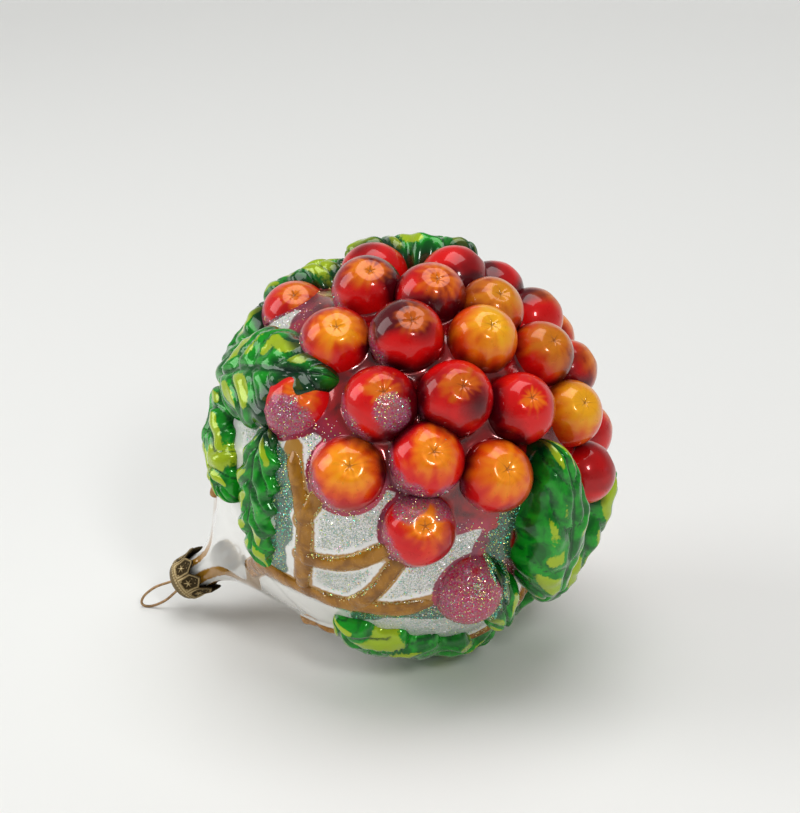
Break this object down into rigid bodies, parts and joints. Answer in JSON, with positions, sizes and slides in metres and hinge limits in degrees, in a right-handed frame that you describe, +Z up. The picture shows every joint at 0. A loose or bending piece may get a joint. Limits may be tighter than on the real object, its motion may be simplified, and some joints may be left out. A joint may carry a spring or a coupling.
{
  "type": "blown glass christmas ornament shaped as a rowan berry cluster",
  "caption": "Hollow blown-glass tree ornament moulded and painted as a bunch of red rowan berries with green leaves, with a stamped metal cap and a wire hanging loop.",
  "frame": {"origin": "on the surface that the ornament lies on, under the middle of its box", "axes": "+Z up from that surface, -X towards the neck, cap and hanging loop, front with the painted stems towards -Y"},
  "size_m": [0.1338, 0.1102, 0.1113],
  "materials": {
    "painted_glass": "glossy lacquer over a silvered glass shell",
    "cap_metal": "antique, stamped",
    "wire_metal": "satin bronze wire"
  },
  "bodies": {
    "root": {"glass_body": "painted_glass", "cap": "cap_metal", "hanger_wire": "wire_metal"}
  },
  "joints": []
}
